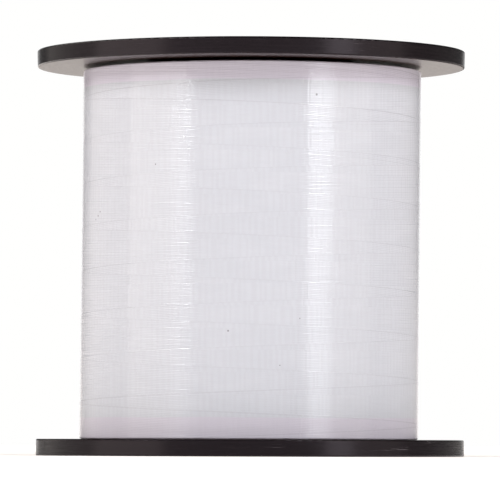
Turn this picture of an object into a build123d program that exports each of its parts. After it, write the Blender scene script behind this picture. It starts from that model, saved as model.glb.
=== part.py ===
"""Bulk spool of clear monofilament fishing line, quarter-pound size.

Two identical black end flanges snap into the ends of a core tube. The line is
wound on the tube between them. Its first turns are held to the tube by a piece
of tape, and its outer end by a second piece on the back of the winding. A round
paper label sits in the recess of each flange's outer face.

Frame: millimetres, +Z up along the spool's axis, origin at the centre of the
lower flange's outer face, so that the spool stands on z = 0. The front is -Y,
and everything that is only on the back is near +Y.
"""

from build123d import *
from math import cos, pi, radians, sin, tan
import os

# Driving dimensions
HEIGHT = 71.8  # over both flanges
FLANGE_RADIUS = 38.0
RIM_HEIGHT = 2.95
RIM_DRAFT = 0.08  # the rim is this much smaller at its inner edge
RIM_FILLET = 0.25
RIM_WIDTH = 3.0
LABEL_RECESS = 1.8  # from the rim's outer face down to the label's bed
LABEL_BED_RADIUS = FLANGE_RADIUS - RIM_WIDTH

BORE_RADIUS = 4.8  # for the spindle of a line winder
SLEEVE_RADIUS = 7.0
SLEEVE_LENGTH = 12.0
DRIVE_HOLE_RADIUS = 2.9
DRIVE_CIRCLE_RADIUS = 10.6
HUB_STATIONS = (90.0, 210.0, 330.0)  # angles of the drive holes and snap fingers
RIB_STATIONS = (30.0, 150.0, 270.0)
RIB_THICKNESS = 1.5
RIB_SETBACK = 0.4  # the outer ribs stay this far below the rim's face

CORE_RADIUS = 18.0
CORE_BORE_RADIUS = 16.0
CORE_CHAMFER = 0.4
SPIGOT_CLEARANCE = 0.05
SPIGOT_WALL = 1.7
SPIGOT_LENGTH = 8.0
FINGER_WIDTH = 5.0
FINGER_GAP = 0.8
BARB_HEIGHT = 2.0
BARB_REACH = 0.9
BARB_TIP_SETBACK = 1.4  # from the spigot's end to the barb's top
WINDOW_MARGIN = 0.25  # a window is this much larger than its barb, all round

LINE_RADIUS = 0.15
WINDING_RADIUS = 30.1
WINDING_SHOULDER = 0.3
WINDING_TO_CORE = 0.1
WINDING_TO_FLANGE = 0.03
WINDING_TOP_GAP = 0.55  # the line stops this far below the upper flange

TAPE_THICKNESS = 0.06
START_TAPE_HEIGHT = 15.0
START_TAPE_ANGLE = 60.0
START_TAPE_CENTRE = (200.0, 25.0)  # angle and height
TAIL_TAPE_HEIGHT = 12.0
TAIL_TAPE_FROM, TAIL_TAPE_TO = 76.0, 108.0
TAIL_Z = 40.0
TAIL_GAP = 0.03  # between the line's end, what it lies on and the tape over it
TAIL_FROM, TAIL_STEP, TAIL_POINTS = 32.0, 11.5, 8

LABEL_RADIUS = 34.2
LABEL_BORE_RADIUS = 15.6
LABEL_THICKNESS = 0.12

KEEPER_SLIT_ANGLE = 120.0  # where the rim is slit to hold the line's end
KEEPER_SLIT_WIDTH = 0.7
KEEPER_SLIT_DEPTH = 2.0
KEEPER_SLIT_LEAN = 32.0

# What follows from them
RIM_INNER_EDGE = FLANGE_RADIUS - RIM_DRAFT
WEB_TOP = RIM_HEIGHT
SPIGOT_RADIUS = CORE_BORE_RADIUS - SPIGOT_CLEARANCE
SPIGOT_BORE_RADIUS = SPIGOT_RADIUS - SPIGOT_WALL
SPIGOT_TOP = WEB_TOP + SPIGOT_LENGTH
BARB_TOP = SPIGOT_TOP - BARB_TIP_SETBACK
BARB_BOTTOM = BARB_TOP - BARB_HEIGHT
CUT = 50.0  # longer than anything that it cuts


def at_angle(shape, angle, radius=0.0, z=0.0):
    """The shape, drawn at the origin pointing along +X, moved out and turned about Z."""
    return Rot(0, 0, angle) * Pos(radius, 0, z) * shape


def arc_of_wall(outline, start, size):
    """The (radius, height) outline turned about Z from one angle through another."""
    face = Plane.XZ * make_face(Polyline(*outline, close=True))
    return Rot(0, 0, start) * revolve(face, Axis.Z, revolution_arc=size)


def in_both_ends(shape):
    """A shape made for the lower end, and its twin turned over for the upper end."""
    return shape, Pos(0, 0, HEIGHT) * Rot(0, 180, 0) * shape


def flange_disc():
    """The disc with its rim and label bed, and the spindle sleeve and spigot."""
    outline = Polyline(
        (BORE_RADIUS, 0),
        (SLEEVE_RADIUS, 0),
        (SLEEVE_RADIUS, LABEL_RECESS),
        (LABEL_BED_RADIUS, LABEL_RECESS),
        (LABEL_BED_RADIUS, 0),
        (FLANGE_RADIUS, 0),
        (RIM_INNER_EDGE, RIM_HEIGHT),
        (SPIGOT_RADIUS, WEB_TOP),
        (SPIGOT_RADIUS, SPIGOT_TOP),
        (SPIGOT_BORE_RADIUS, SPIGOT_TOP),
        (SPIGOT_BORE_RADIUS, WEB_TOP),
        (SLEEVE_RADIUS, WEB_TOP),
        (SLEEVE_RADIUS, SLEEVE_LENGTH),
        (BORE_RADIUS, SLEEVE_LENGTH),
        close=True,
    )
    disc = revolve(Plane.XZ * make_face(outline), Axis.Z)
    rim_edges = [
        e
        for e in disc.edges().filter_by(GeomType.CIRCLE)
        if e.radius > RIM_INNER_EDGE - 0.01 or abs(e.radius - LABEL_BED_RADIUS) < 0.01
    ]
    return fillet(rim_edges, RIM_FILLET)


def flange_ribs():
    """Ribs from the sleeve to the spigot inside, and across the hub's outer face."""
    length = SPIGOT_BORE_RADIUS - SLEEVE_RADIUS + SPIGOT_WALL / 2
    middle = (SPIGOT_BORE_RADIUS + SPIGOT_WALL / 2 + SLEEVE_RADIUS) / 2
    corner = (Align.CENTER, Align.CENTER, Align.MIN)
    inner = Box(length + 0.6, RIB_THICKNESS, SPIGOT_TOP - WEB_TOP - 1.0, align=corner)
    outer = Box(length + 0.6, RIB_THICKNESS, LABEL_RECESS - RIB_SETBACK, align=corner)
    ribs = []
    for angle in RIB_STATIONS:
        ribs.append(at_angle(inner, angle, middle - 0.3, WEB_TOP))
        ribs.append(at_angle(outer, angle, middle - 0.3, RIB_SETBACK))
    return ribs


def snap_finger_cuts():
    """Slots on each side of a snap finger, which leave it free to bend."""
    corner = (Align.CENTER, Align.CENTER, Align.MIN)
    slot = Box(SPIGOT_WALL + 1.0, FINGER_GAP, SPIGOT_LENGTH + 1.0, align=corner)
    radius = SPIGOT_BORE_RADIUS + SPIGOT_WALL / 2
    aside = (FINGER_WIDTH + FINGER_GAP) / 2
    slots = []
    for angle in HUB_STATIONS:
        for side in (-aside, aside):
            slots.append(at_angle(Pos(0, side, 0) * slot, angle, radius, WEB_TOP))
    return slots


def snap_barbs():
    """The wedges on the fingers, which catch in the core tube's windows."""
    ramp = make_face(
        Polyline(
            (SPIGOT_RADIUS - 0.5, BARB_BOTTOM),
            (SPIGOT_RADIUS + BARB_REACH, BARB_BOTTOM),
            (SPIGOT_RADIUS + BARB_REACH, BARB_BOTTOM + 0.5),
            (SPIGOT_RADIUS + 0.15, BARB_TOP),
            (SPIGOT_RADIUS - 0.5, BARB_TOP),
            close=True,
        )
    )
    barb = extrude(Plane.XZ * ramp, (FINGER_WIDTH - 0.4) / 2, both=True)
    return [at_angle(barb, angle) for angle in HUB_STATIONS]


def keeper_slit():
    """A leaning slit through the rim, in which the line's end is pinched."""
    length = 2 * KEEPER_SLIT_DEPTH
    blade = Box(length, KEEPER_SLIT_WIDTH, CUT)
    foot = Cylinder(KEEPER_SLIT_WIDTH * 0.75, CUT)
    slit = Rot(0, 0, KEEPER_SLIT_LEAN) * (Pos(length / 2, 0, 0) * blade + foot)
    return at_angle(slit, KEEPER_SLIT_ANGLE, FLANGE_RADIUS - KEEPER_SLIT_DEPTH)


def flange():
    """One end flange, a single moulding, standing as the lower one."""
    body = flange_disc()
    for rib in flange_ribs():
        body += rib
    hole = Cylinder(DRIVE_HOLE_RADIUS, CUT)
    for angle in HUB_STATIONS:
        body -= at_angle(hole, angle, DRIVE_CIRCLE_RADIUS)
    for slot in snap_finger_cuts():
        body -= slot
    for barb in snap_barbs():
        body += barb
    body -= keeper_slit()
    return body


def core_tube():
    """The tube that the line is wound on, with windows for the barbs at both ends."""
    wall = CORE_RADIUS - CORE_BORE_RADIUS
    length = HEIGHT - 2 * WEB_TOP
    outline = Polyline(
        (CORE_BORE_RADIUS + CORE_CHAMFER, WEB_TOP),
        (CORE_RADIUS, WEB_TOP),
        (CORE_RADIUS, WEB_TOP + length),
        (CORE_BORE_RADIUS + CORE_CHAMFER, WEB_TOP + length),
        (CORE_BORE_RADIUS, WEB_TOP + length - CORE_CHAMFER),
        (CORE_BORE_RADIUS, WEB_TOP + CORE_CHAMFER),
        close=True,
    )
    tube = revolve(Plane.XZ * make_face(outline), Axis.Z)
    window = Box(2 * wall, FINGER_WIDTH + 2 * WINDOW_MARGIN, BARB_HEIGHT + 2 * WINDOW_MARGIN)
    height = (BARB_BOTTOM + BARB_TOP) / 2
    for angle in HUB_STATIONS:
        for end in in_both_ends(at_angle(window, angle, CORE_RADIUS - wall / 2, height)):
            tube -= end
    return tube


def line_winding():
    """The wound line, as one closed ring with the rounded shoulders that the turns leave."""
    inner = CORE_RADIUS + WINDING_TO_CORE
    foot = WEB_TOP + WINDING_TO_FLANGE
    top = HEIGHT - WEB_TOP - WINDING_TOP_GAP
    outline = Polyline((inner, foot), (WINDING_RADIUS, foot), (WINDING_RADIUS, top), (inner, top), close=True)
    ring = revolve(Plane.XZ * make_face(outline), Axis.Z)
    shoulders = ring.edges().filter_by(GeomType.CIRCLE).group_by(lambda e: round(e.radius, 3))[-1]
    return fillet(shoulders, WINDING_SHOULDER)


def start_tape():
    """The tape on the core that holds the line's first turns."""
    angle, height = START_TAPE_CENTRE
    inner = CORE_RADIUS + 0.02
    outer = inner + TAPE_THICKNESS
    low, high = height - START_TAPE_HEIGHT / 2, height + START_TAPE_HEIGHT / 2
    outline = [(inner, low), (outer, low), (outer, high), (inner, high)]
    return arc_of_wall(outline, angle - START_TAPE_ANGLE / 2, START_TAPE_ANGLE)


def tail_route():
    """Points round which the line's end runs over the back of the winding, and their radius."""
    lay = WINDING_RADIUS + LINE_RADIUS + TAIL_GAP
    radius = lay / (0.75 + 0.25 * cos(radians(TAIL_STEP)))
    angles = [radians(TAIL_FROM + TAIL_STEP * i) for i in range(TAIL_POINTS)]
    return [Vector(radius * cos(a), radius * sin(a), TAIL_Z) for a in angles]


def line_tail():
    """The last stretch of the line, which lies on the winding and ends past the tape."""
    points = tail_route()
    run = (points[1] - points[0]).length
    bend = 0.45 * run / tan(radians(TAIL_STEP) / 2)
    path = FilletPolyline(*points, radius=bend)
    section = Plane(origin=path @ 0, z_dir=path % 0) * Circle(LINE_RADIUS)
    tube = sweep(section, path)
    exact = pi * LINE_RADIUS**2 * path.length
    print(f"line_tail: bend radius {bend:.2f}, length {path.length:.2f}")
    print(f"line_tail: volume {tube.volume:.4f} of {exact:.4f}")
    return tube


def tail_tape():
    """The tape over the line's end, flat on the winding with a hump over the line."""
    inner = WINDING_RADIUS + TAIL_GAP
    outer = inner + TAPE_THICKNESS
    top = WINDING_RADIUS + 2 * (LINE_RADIUS + TAIL_GAP) + TAIL_GAP
    half = TAIL_TAPE_HEIGHT / 2
    crest, slope = LINE_RADIUS + TAIL_GAP, LINE_RADIUS + 0.4
    outline = [
        (inner, TAIL_Z - half),
        (outer, TAIL_Z - half),
        (outer, TAIL_Z - slope),
        (top + TAPE_THICKNESS, TAIL_Z - crest),
        (top + TAPE_THICKNESS, TAIL_Z + crest),
        (outer, TAIL_Z + slope),
        (outer, TAIL_Z + half),
        (inner, TAIL_Z + half),
        (inner, TAIL_Z + slope),
        (top, TAIL_Z + crest),
        (top, TAIL_Z - crest),
        (inner, TAIL_Z - slope),
    ]
    return arc_of_wall(outline, TAIL_TAPE_FROM, TAIL_TAPE_TO - TAIL_TAPE_FROM)


def label():
    """A round paper label on the lower flange's bed."""
    low = LABEL_RECESS - LABEL_THICKNESS
    disc = Circle(LABEL_RADIUS) - Circle(LABEL_BORE_RADIUS)
    return Pos(0, 0, low) * extrude(disc, LABEL_THICKNESS)


def main():
    os.makedirs("parts", exist_ok=True)
    lower_flange, upper_flange = in_both_ends(flange())
    lower_label, upper_label = in_both_ends(label())
    nodes = {
        "lower_flange": lower_flange,
        "upper_flange": upper_flange,
        "core_tube": core_tube(),
        "line_winding": line_winding(),
        "line_tail": line_tail(),
        "start_tape": start_tape(),
        "tail_tape": tail_tape(),
        "lower_label": lower_label,
        "upper_label": upper_label,
    }
    for name, shape in nodes.items():
        export_step(shape, f"parts/{name}.step")


main()
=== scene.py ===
"""Looks of a bulk spool of clear monofilament fishing line. Metres, +Z up, front at -Y."""

import math

import bpy
import numpy as np
from mathutils import Matrix, Vector


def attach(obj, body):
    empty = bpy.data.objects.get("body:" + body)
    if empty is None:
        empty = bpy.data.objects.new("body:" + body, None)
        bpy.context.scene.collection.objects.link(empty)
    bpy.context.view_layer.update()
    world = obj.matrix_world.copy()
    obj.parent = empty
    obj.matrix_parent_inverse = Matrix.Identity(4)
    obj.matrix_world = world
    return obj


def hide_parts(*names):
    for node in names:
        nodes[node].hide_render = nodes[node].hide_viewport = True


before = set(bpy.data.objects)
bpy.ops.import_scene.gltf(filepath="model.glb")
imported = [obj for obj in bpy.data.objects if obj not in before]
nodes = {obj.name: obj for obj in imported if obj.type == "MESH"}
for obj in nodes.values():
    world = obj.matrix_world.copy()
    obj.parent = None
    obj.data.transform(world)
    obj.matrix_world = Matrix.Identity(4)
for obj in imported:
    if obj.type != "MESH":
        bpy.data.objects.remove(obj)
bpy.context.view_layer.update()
rng = np.random.default_rng(7)

HEIGHT = 0.0718
MIDDLE = HEIGHT / 2
FLANGE_RADIUS = 0.038
RIM_HEIGHT = 0.00295

# The winding
WINDING_RADIUS = 0.0301
CORE_RADIUS = 0.0181
WINDING_FOOT, WINDING_TOP = 0.00298, 0.06830
PITCH = 0.000295  # from one strand to the next
STARTS = 26  # strands that lie side by side in one lead
STEPS = 4  # rows of the mesh in one strand
LEAD = STARTS * PITCH  # travel along the spool in one turn
COLUMNS = STARTS * STEPS
NEWEST = 0.345  # where in the lead the last strands of both directions lie
OUTERMOST = WINDING_RADIUS - 0.00004
GROOVE = 0.00002  # depth between two strands
CREST_POWER = 0.8  # below 1, so that a strand's crest is broad and its groove narrow
AGE_DEPTH = 0.00002  # an old strand lies this much deeper than a new one
WOBBLE = 0.000004  # spread of the strands' radii
FALLING_KEY = 4000  # keeps the falling strands' numbers apart from the rising ones'
WOBBLES = 2 * FALLING_KEY
SHOULDER = 0.0003  # radius of the winding's rounded ends
LEAN = 0.00025  # the winding leans this far to the right at its top

# The line's loose end, on the back of the winding
LINE_RADIUS = 0.00015
TAIL_GAP = 0.00003
TAIL_HEIGHT = 0.040
TAIL_START, TAIL_STEP, TAIL_POINTS = 32.0, 11.5, 8  # degrees, degrees and count

# Looks of the winding
TOP_BAND, FOOT_BAND = 0.0651, 0.0067  # beyond these the winding's tone changes: lighter under the upper flange, a painted light that lifts the shadow this flange casts, and a little darker and pinker above the lower flange
BAND_WANDER = 0.0006  # how far a band's edge wanders up and down
BAND_FADE = (-0.00015, 0.0002)  # width of a band's soft edge
SEAM_TOP, SEAM_FOOT = 0.0640, 0.0072  # towards these the painted shade along the newest strands' edges grows darker
PLEATS = 163  # fine pleats across the strands, round the winding
PLEAT_HEIGHT = 0.0000038
SPECKS = (  # dirt: angle in degrees, height and radius
    (-67.9, 0.0625, 0.00028),
    (-123.4, 0.0505, 0.00018),
    (-97.3, 0.0216, 0.00022),
    (-73.5, 0.0238, 0.00016),
    (-80.2, 0.0157, 0.00015),
    (-151.5, 0.0427, 0.00022),
    (-153.0, 0.0420, 0.00025),
    (-154.8, 0.0414, 0.00020),
)

# Printed rings of the labels: radii of both edges
RINGS = ((0.0286, 0.0329), (0.0180, 0.0187))
PRINT_EDGE = 0.0001

# Colours. Noise mixes the two tones of a pair.
BLACK = (0.0028, 0.0016, 0.0023, 1), (0.0060, 0.0036, 0.0050, 1)
# warm tint of the flanges' inner faces: a painted reflection of the bright surroundings
BLACK_INNER_FACE_PAINTED_REFLECTION = (0.022, 0.009, 0.005, 1)
SCUFF = (0.16, 0.14, 0.15, 1)
SHEEN = (1.0, 0.86, 0.95, 1)
TUBE = (0.016, 0.016, 0.018, 1), (0.036, 0.035, 0.037, 1)
NYLON = (0.549, 0.551, 0.599, 1), (0.582, 0.584, 0.636, 1)
NYLON_CLOUD = (0.71, 0.70, 0.745, 1)
# painted shade in the troughs of the pleats
NYLON_PLEAT_SHADE = (0.50, 0.48, 0.53, 1)
# painted light: a lighter tone under the upper flange, lifting the shadow that flange casts
NYLON_TOP_BAND_PAINTED_LIGHT = (0.67, 0.61, 0.71, 1)
# a little darker and pinker tone above the lower flange
NYLON_FOOT_BAND = (0.60, 0.53, 0.62, 1)
# painted shade in the grooves along the newest strands' edges
NYLON_SEAM_SHADE = (0.36, 0.33, 0.38, 1)
DIRT = (0.10, 0.08, 0.09, 1)
TAPE = (0.70, 0.70, 0.68, 1), (0.86, 0.86, 0.84, 1)
PAPER = (0.74, 0.74, 0.72, 1), (0.84, 0.84, 0.82, 1)
PRINT = (0.012, 0.045, 0.12, 1), (0.022, 0.065, 0.16, 1)
FLOOR = (0.86, 0.86, 0.855, 1), (0.9, 0.9, 0.895, 1)
FLOOR_GLOW = (1.0, 0.90, 0.84, 1)
BACKDROP = (1.0, 1.0, 0.992, 1)

# Softboxes, all aimed at the spool
HIGH, LOW = 27, 8  # elevations in degrees
WARM, COOL = (1.0, 0.95, 0.88), (0.955, 0.985, 1.0)
SOFTBOX_DISTANCE, SOFTBOX_HEIGHT = 1.2, 0.4
SOFTBOX_POWER = 4.0  # watts per square metre at a brightness of 1
SOFTBOXES = (  # name, azimuths of both edges in degrees, elevation, brightness and colour
    ("left_edge", -46, -42, HIGH, 14.5, COOL),
    ("left_near", -56, -46, HIGH, 8.0, COOL),
    ("left", -90, -56, HIGH, 3.0, WARM),
    ("left_back", -145, -90, HIGH, 0.85, WARM),
    ("left_low", -90, -46, LOW, 1.15, WARM),
    ("left_low_back", -140, -90, LOW, 0.3, WARM),
    ("front_left", -42, -10, HIGH, 0.24, COOL),
    ("front_low", -42, 39, LOW, 0.24, COOL),
    ("right_edge", 39, 48, HIGH, 10.8, COOL),
    ("right_near", 48, 57, HIGH, 8.8, COOL),
    ("right_near_low", 40, 56, LOW, 2.1, COOL),
    ("right", 57, 68, HIGH, 4.2, WARM),
    ("right_far", 68, 88, HIGH, 1.4, WARM),
    ("right_low", 57, 88, LOW, 0.55, WARM),
)

FLOOR_HALF = 4.0  # half of the floor's side
GLOW_CENTRE = (0.0, -0.30, 0.0)  # the floor glows more with the distance from here

# Camera
CAMERA_PLACE = (-0.0001, -0.950, 0.0022)
CAMERA_TARGET = (-0.0001, 0.0, 0.0366)
CAMERA_ROLL = 0.20  # degrees
CAMERA_LENS, CAMERA_SENSOR = 385.3, 36.0  # millimetres


# ---------------------------------------------------------------- node helpers


class Nodes:
    """Builds a node tree with short calls: values, sockets and numbers can be mixed as inputs."""

    def __init__(self, tree):
        self.tree = tree
        tree.nodes.clear()

    def add(self, kind, out=0, inputs=None, **settings):
        """Adds a node and returns its output number out, or the node itself if out is None."""
        node = self.tree.nodes.new(kind)
        for key, value in settings.items():
            setattr(node, key, value)
        for key, value in (inputs or {}).items():
            self.put(node.inputs[key], value)
        return node if out is None else node.outputs[out]

    def put(self, socket, value):
        if isinstance(value, bpy.types.NodeSocket):
            self.tree.links.new(value, socket)
        else:
            socket.default_value = value

    def math(self, operation, *values):
        return self.add("ShaderNodeMath", inputs=dict(enumerate(values)), operation=operation)

    def plus(self, a, b):
        return self.math("ADD", a, b)

    def minus(self, a, b):
        return self.math("SUBTRACT", a, b)

    def times(self, a, b, more=0.0):
        """a * b + more"""
        return self.math("MULTIPLY_ADD", a, b, more)

    def rise(self, value, start, end, low=0.0, high=1.0):
        """low before start, high after end, smooth between them."""
        inputs = {
            "Value": value,
            "From Min": start,
            "From Max": end,
            "To Min": low,
            "To Max": high,
        }
        return self.add("ShaderNodeMapRange", inputs=inputs, interpolation_type="SMOOTHSTEP")

    def xyz(self, x, y, z):
        return self.add("ShaderNodeCombineXYZ", inputs={0: x, 1: y, 2: z})

    def place(self):
        """The place in the object's own coordinates, which are the shared frame's."""
        return self.add("ShaderNodeTexCoord", out=3)

    def noise(self, vector, scale=1.0, detail=3.0, roughness=0.5):
        inputs = {"Vector": vector, "Scale": scale, "Detail": detail, "Roughness": roughness}
        return self.add("ShaderNodeTexNoise", inputs=inputs)

    def mix(self, factor, a, b):
        node = self.add("ShaderNodeMix", out=None, data_type="RGBA")
        for name, value in (("Factor_Float", factor), ("A_Color", a), ("B_Color", b)):
            socket = next(s for s in node.inputs if s.identifier == name)
            self.put(socket, value)
        return next(s for s in node.outputs if s.identifier == "Result_Color")

    def bump(self, height, distance, strength=1.0):
        inputs = {"Height": height, "Distance": distance, "Strength": strength}
        return self.add("ShaderNodeBump", inputs=inputs)

    def around(self, place):
        """Sockets for the angle about the spool's axis in radians, the radius and the height."""
        split = self.add("ShaderNodeSeparateXYZ", out=None, inputs={0: place})
        x, y, z = split.outputs
        angle = self.math("ARCTAN2", y, x)
        radius = self.math("SQRT", self.plus(self.times(x, x), self.times(y, y)))
        return angle, radius, z


def material(name, build):
    made = bpy.data.materials.new(name)
    made.use_nodes = True
    n = Nodes(made.node_tree)
    shader = n.add("ShaderNodeBsdfPrincipled", out=None)
    n.add("ShaderNodeOutputMaterial", out=None, inputs={"Surface": shader.outputs[0]})
    build(n, shader)
    return made


# ------------------------------------------------------------------- materials


def black_plastic(n, shader):
    """Satin black moulding: faint turned streaks, scuffs on the rim, a fine grain, and a warm tint
    on the inner faces that paints their beige reflection.
    """
    place = n.place()
    angle, radius, z = n.around(place)
    turned = n.xyz(n.times(angle, 6.0), n.times(radius, 4200.0), n.times(z, 4200.0))
    streaks = n.noise(turned, detail=4.0, roughness=0.6)
    grain = n.noise(place, scale=2600.0)
    blotches = n.noise(place, scale=90.0)

    on_rim = n.rise(radius, FLANGE_RADIUS - 0.00025, FLANGE_RADIUS - 0.0001)
    scuffs = n.rise(n.noise(turned, scale=0.45, detail=5.0, roughness=0.7), 0.60, 0.74)
    scuffs = n.times(scuffs, n.rise(blotches, 0.5, 0.66))
    scuffs = n.times(scuffs, on_rim)

    above_lower = n.rise(z, RIM_HEIGHT - 0.0001, RIM_HEIGHT)
    below_upper = n.rise(z, HEIGHT - RIM_HEIGHT, HEIGHT - RIM_HEIGHT + 0.0001, 1.0, 0.0)
    inner_face = n.times(above_lower, below_upper)

    base = n.mix(n.times(n.plus(streaks, blotches), 0.5), *BLACK)
    # painted reflection: the inner faces get a warm tint that stands in for the beige they reflect
    base = n.mix(inner_face, base, BLACK_INNER_FACE_PAINTED_REFLECTION)
    n.put(shader.inputs["Base Color"], n.mix(scuffs, base, SCUFF))
    rough = n.times(streaks, 0.12, n.times(on_rim, 0.10, 0.06))
    rough = n.times(inner_face, 0.19, rough)
    n.put(shader.inputs["Roughness"], n.times(scuffs, 0.25, rough))
    shader.inputs["IOR"].default_value = 1.36
    shader.inputs["Specular Tint"].default_value = SHEEN
    height = n.times(grain, 0.35, n.times(streaks, on_rim))
    n.put(shader.inputs["Normal"], n.bump(height, distance=0.00002, strength=0.35))


def core_plastic(n, shader):
    """Matte black extruded tube, drawn lines along it."""
    angle, _, z = n.around(n.place())
    drawn = n.noise(n.xyz(n.times(angle, 60.0), 0.0, n.times(z, 60.0)))
    n.put(shader.inputs["Base Color"], n.mix(drawn, *TUBE))
    n.put(shader.inputs["Roughness"], n.times(drawn, 0.2, 0.45))
    n.put(shader.inputs["Normal"], n.bump(drawn, distance=0.00002, strength=0.4))


def nylon_line(n, shader):
    """Milky clear nylon: soft mottling along the strands, fine pleats across them with painted
    shade in their troughs, painted light under the upper flange, a darker foot band, and painted
    shade along the newest strands' edges.
    """
    angle, _, z = n.around(n.place())

    # the same strands as in the mesh: which family shows here, and how new its strand is
    turn = n.math("DIVIDE", angle, 2 * math.pi)
    lead = n.math("DIVIDE", n.minus(z, WINDING_FOOT), LEAD)
    rising_age = n.math("FRACT", n.plus(n.minus(NEWEST, lead), turn))
    falling_age = n.math("FRACT", n.minus(n.minus(NEWEST, lead), turn))
    newest = n.math("MINIMUM", rising_age, falling_age)
    rises = n.math("LESS_THAN", rising_age, falling_age)
    band = n.times(rises, 7.3, n.math("FLOOR", n.times(lead, 2.0)))

    drift = n.noise(n.xyz(n.times(angle, 16.0), band, 0.0), detail=2.0)
    phase = n.times(drift, 14.0, n.times(rises, 2.4))
    pleats = n.math("SINE", n.times(angle, PLEATS, phase))
    depth = n.noise(n.xyz(n.times(angle, 30.0), band, n.times(z, 60.0)), detail=2.0)
    pleats = n.times(pleats, n.rise(depth, 0.3, 0.7, 0.2, 1.6))

    mottling = n.xyz(n.times(angle, 7.0), 0.0, n.times(z, 1300.0))
    base = n.mix(n.noise(mottling, roughness=0.6), *NYLON)
    clouds = n.noise(n.xyz(n.times(angle, 3.0), band, n.times(z, 300.0)), detail=2.0)
    base = n.mix(n.rise(clouds, 0.35, 0.75, 0.0, 0.15), base, NYLON_CLOUD)
    # painted shade: the pleats' troughs are darkened in the colour, besides their bump
    base = n.mix(n.rise(pleats, -1.2, 1.2, 0.22, 0.0), base, NYLON_PLEAT_SHADE)

    wander = n.noise(n.xyz(n.times(angle, 1.3), 3.0, 0.0), detail=1.0)
    height = n.plus(z, n.times(wander, BAND_WANDER, -BAND_WANDER / 2))
    from_top = n.minus(TOP_BAND, height)
    from_foot = n.minus(height, FOOT_BAND)
    # painted light under the upper flange; above the lower flange the tone is only made a little
    # darker and pinker
    base = n.mix(n.rise(from_top, *BAND_FADE, 0.8, 0.0), base, NYLON_TOP_BAND_PAINTED_LIGHT)
    base = n.mix(n.rise(from_foot, *BAND_FADE, 0.62, 0.0), base, NYLON_FOOT_BAND)

    for degrees, up, size in SPECKS:
        across = n.times(n.minus(angle, math.radians(degrees)), WINDING_RADIUS)
        offset = n.xyz(across, n.minus(z, up), 0.0)
        away = n.add("ShaderNodeVectorMath", out=1, inputs={0: offset}, operation="LENGTH")
        base = n.mix(n.rise(away, 0.3 * size, size, 0.75, 0.0), base, DIRT)

    # painted shade in the grooves where the newest strands meet older ones, darker near the ends
    from_ends = n.math("MINIMUM", n.minus(SEAM_TOP, z), n.minus(z, SEAM_FOOT))
    seam_shade = n.rise(newest, 0.012, 0.03, 1.0, 0.0)
    seam_shade = n.times(seam_shade, n.rise(from_ends, 0.003, 0.009, 0.25, 0.10))
    n.put(shader.inputs["Base Color"], n.mix(seam_shade, base, NYLON_SEAM_SHADE))
    shader.inputs["Roughness"].default_value = 0.15
    shader.inputs["Anisotropic"].default_value = 1.0
    shader.inputs["Anisotropic Rotation"].default_value = 0.25
    shader.inputs["IOR"].default_value = 1.66
    n.put(shader.inputs["Normal"], n.bump(pleats, PLEAT_HEIGHT))


def clear_tape(n, shader):
    """Thin clear tape with small wrinkles."""
    wrinkles = n.noise(n.place(), scale=700.0)
    n.put(shader.inputs["Base Color"], n.mix(wrinkles, *TAPE))
    n.put(shader.inputs["Roughness"], n.times(wrinkles, 0.15, 0.05))
    shader.inputs["Alpha"].default_value = 0.35
    n.put(shader.inputs["Normal"], n.bump(wrinkles, distance=0.00004, strength=0.4))


def label_paper(n, shader):
    """White coated paper with two printed rings and faint fibres."""
    place = n.place()
    _, radius, _ = n.around(place)
    fibres = n.noise(place, scale=1800.0, detail=4.0, roughness=0.6)
    printed = 0.0
    for start, end in RINGS:
        past_start = n.rise(radius, start, start + PRINT_EDGE)
        before_end = n.rise(radius, end - PRINT_EDGE, end, 1.0, 0.0)
        printed = n.times(past_start, before_end, printed)
    base = n.mix(printed, n.mix(fibres, *PAPER), n.mix(fibres, *PRINT))
    n.put(shader.inputs["Base Color"], base)
    n.put(shader.inputs["Roughness"], n.times(fibres, 0.2, 0.35))
    n.put(shader.inputs["Normal"], n.bump(fibres, distance=0.00002, strength=0.3))


line_material = material("nylon_line", nylon_line)

for made, names in (
    (material("black_plastic", black_plastic), ("lower_flange", "upper_flange")),
    (material("core_plastic", core_plastic), ("core_tube",)),
    (material("clear_tape", clear_tape), ("start_tape", "tail_tape")),
    (material("label_paper", label_paper), ("lower_label", "upper_label")),
):
    for name in names:
        nodes[name].data.materials.clear()
        nodes[name].data.materials.append(made)


# ----------------------------------------------------------------- the winding


def new_object(name, data):
    made = bpy.data.objects.new(name, data)
    bpy.context.scene.collection.objects.link(made)
    return made


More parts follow.
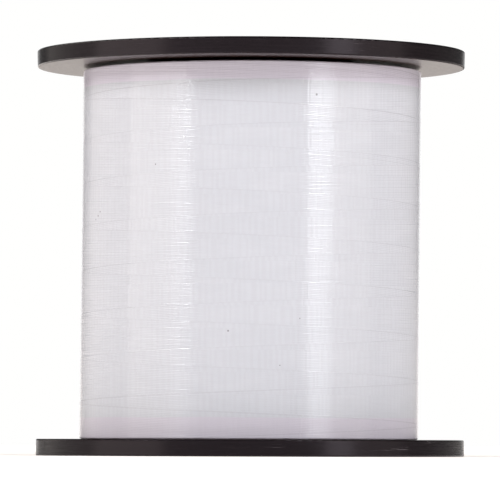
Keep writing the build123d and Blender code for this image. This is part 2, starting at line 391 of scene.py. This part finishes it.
def build_winding():
    """The outermost strands of the cross-wound line, one closed mesh.

    Rising and falling strands lie on one lattice: a strand moves one row per column. At each
    place the family that was laid last shows, which leaves bands half a lead high.
    """
    rows = int(round((WINDING_TOP - WINDING_FOOT) / (PITCH / STEPS))) + 1
    z = np.linspace(WINDING_FOOT, WINDING_TOP, rows)[:, None]
    i = np.arange(rows)[:, None]
    j = np.arange(COLUMNS)[None, :]
    rising, falling = i - j, i + j

    def laid(index):
        """Age of the strand at a lattice line, from 0 for the newest to 1."""
        turn = np.floor_divide(index, STEPS) % STARTS / STARTS
        return (NEWEST - turn) % 1.0

    age_up, age_down = laid(rising), laid(falling)
    up = age_up < age_down
    age = np.where(up, age_up, age_down)
    line = np.where(up, rising, falling)
    crest = np.sin(np.pi * (line % STEPS / STEPS)) ** CREST_POWER
    strand = np.floor_divide(line, STEPS) + np.where(up, 0, FALLING_KEY)
    wobble = rng.normal(0, WOBBLE, WOBBLES)[strand]
    radius = OUTERMOST - GROOVE * (1 - crest) - AGE_DEPTH * age + wobble
    radius = np.minimum(radius, WINDING_RADIUS)

    # the last turns draw in towards the flanges
    end = np.minimum(z - WINDING_FOOT, WINDING_TOP - z)
    inside = np.clip(1 - end / SHOULDER, 0, 1)
    radius = radius - SHOULDER * (1 - np.sqrt(1 - inside**2))
    angle = 2 * np.pi * j / COLUMNS
    lean = LEAN * (z - MIDDLE) / MIDDLE
    side = np.stack([radius * np.cos(angle) + lean, radius * np.sin(angle), z + 0 * angle], -1)

    def core_ring(height):
        a = angle[0]
        ring = [CORE_RADIUS * np.cos(a), CORE_RADIUS * np.sin(a), np.full(COLUMNS, height)]
        return np.stack(ring, -1)[None]

    verts = np.concatenate([core_ring(WINDING_FOOT), side, core_ring(WINDING_TOP)])
    count = len(verts)
    faces = []
    for r in range(count):
        above = (r + 1) % count
        row = r - 1  # in the lattice, because the first ring is the core's
        for c in range(COLUMNS):
            right = (c + 1) % COLUMNS
            a, b = r * COLUMNS + c, r * COLUMNS + right
            d, e = above * COLUMNS + c, above * COLUMNS + right
            if 0 <= row < rows - 1 and up[row, c]:
                faces += [(a, b, e), (a, e, d)]
            else:
                faces += [(a, b, d), (b, e, d)]
    mesh = bpy.data.meshes.new("line_winding_strands")
    mesh.from_pydata(verts.reshape(-1, 3).tolist(), [], faces)
    mesh.shade_smooth()
    mesh.materials.append(line_material)
    made = new_object("line_strands", mesh)
    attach(made, "root")
    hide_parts("line_winding")


def build_tail():
    """The line's loose end on the back of the winding."""
    lay = WINDING_RADIUS + LINE_RADIUS + TAIL_GAP
    # off a corner, the curve is three quarters that corner and an eighth each neighbour
    radius = lay / (0.75 + 0.25 * math.cos(math.radians(TAIL_STEP)))
    angles = [math.radians(TAIL_START + TAIL_STEP * i) for i in range(TAIL_POINTS)]
    points = [Vector((radius * math.cos(a), radius * math.sin(a), TAIL_HEIGHT)) for a in angles]
    curve = bpy.data.curves.new("line_end", "CURVE")
    curve.dimensions = "3D"
    curve.resolution_u = 10
    curve.bevel_depth = LINE_RADIUS
    curve.bevel_resolution = 4
    curve.use_fill_caps = True
    spline = curve.splines.new("NURBS")
    spline.points.add(len(points) - 1)
    for point, place in zip(spline.points, points):
        point.co = (*place, 1.0)
    spline.order_u = 3
    spline.use_endpoint_u = True
    curve.materials.append(line_material)
    made = new_object("line_end", curve)
    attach(made, "root")
    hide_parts("line_tail")


build_winding()
build_tail()


# ------------------------------------------------------- floor, light and camera


def pale_floor(n, shader):
    """Pale matte floor. It glows more where the softboxes don't reach, so that it stays white."""
    place = n.place()
    n.put(shader.inputs["Base Color"], n.mix(n.noise(place, scale=3.0), *FLOOR))
    shader.inputs["Roughness"].default_value = 0.9
    shader.inputs["Emission Color"].default_value = FLOOR_GLOW
    inputs = {0: place, 1: GLOW_CENTRE}
    away = n.add("ShaderNodeVectorMath", out=1, inputs=inputs, operation="DISTANCE")
    n.put(shader.inputs["Emission Strength"], n.rise(away, 0.30, 1.1, 0.46, 1.20))


def build_floor():
    mesh = bpy.data.meshes.new("floor")
    s = FLOOR_HALF
    mesh.from_pydata([(-s, -s, 0), (s, -s, 0), (s, s, 0), (-s, s, 0)], [], [(0, 1, 2, 3)])
    mesh.materials.append(material("floor_pale", pale_floor))
    floor = new_object("floor", mesh)


def build_world():
    """White behind the spool, dim elsewhere."""
    world = bpy.data.worlds.new("studio")
    bpy.context.scene.world = world
    world.use_nodes = True
    n = Nodes(world.node_tree)
    direction = n.add("ShaderNodeTexCoord", out=0)
    split = n.add("ShaderNodeSeparateXYZ", out=None, inputs={0: direction})
    backwards = split.outputs[1]
    strength = n.rise(backwards, 0.93, 0.99, 0.10, 1.0)
    inputs = {"Color": BACKDROP, "Strength": strength}
    background = n.add("ShaderNodeBackground", inputs=inputs)
    n.add("ShaderNodeOutputWorld", out=None, inputs={"Surface": background})


def softbox(name, start, end, elevation, brightness, colour):
    """A soft light aimed at the spool, between two azimuths: 0 is its front and 90 its right."""
    width = 2 * SOFTBOX_DISTANCE * math.tan(math.radians(end - start) / 2)
    a, e = math.radians((start + end) / 2), math.radians(elevation)
    outwards = Vector((math.sin(a) * math.cos(e), -math.cos(a) * math.cos(e), math.sin(e)))
    light = bpy.data.lights.new(name, "AREA")
    light.shape = "RECTANGLE"
    light.size, light.size_y = width, SOFTBOX_HEIGHT
    light.energy = SOFTBOX_POWER * brightness * width * SOFTBOX_HEIGHT
    light.color = colour
    made = new_object(name, light)
    made.location = Vector((0, 0, MIDDLE)) + outwards * SOFTBOX_DISTANCE
    made.rotation_mode = "QUATERNION"
    made.rotation_quaternion = (-outwards).to_track_quat("-Z", "Y")


def build_camera():
    data = bpy.data.cameras.new("camera")
    data.sensor_width = CAMERA_SENSOR
    data.lens = CAMERA_LENS
    data.clip_start, data.clip_end = 0.05, 20.0
    camera = new_object("camera", data)
    place = Vector(CAMERA_PLACE)
    look = (Vector(CAMERA_TARGET) - place).to_track_quat("-Z", "Y").to_matrix().to_4x4()
    roll = Matrix.Rotation(math.radians(CAMERA_ROLL), 4, "Z")
    camera.matrix_world = Matrix.Translation(place) @ look @ roll
    bpy.context.scene.camera = camera


build_floor()
build_world()
for box in SOFTBOXES:
    softbox(*box)
build_camera()
bpy.context.scene.view_settings.view_transform = "Standard"
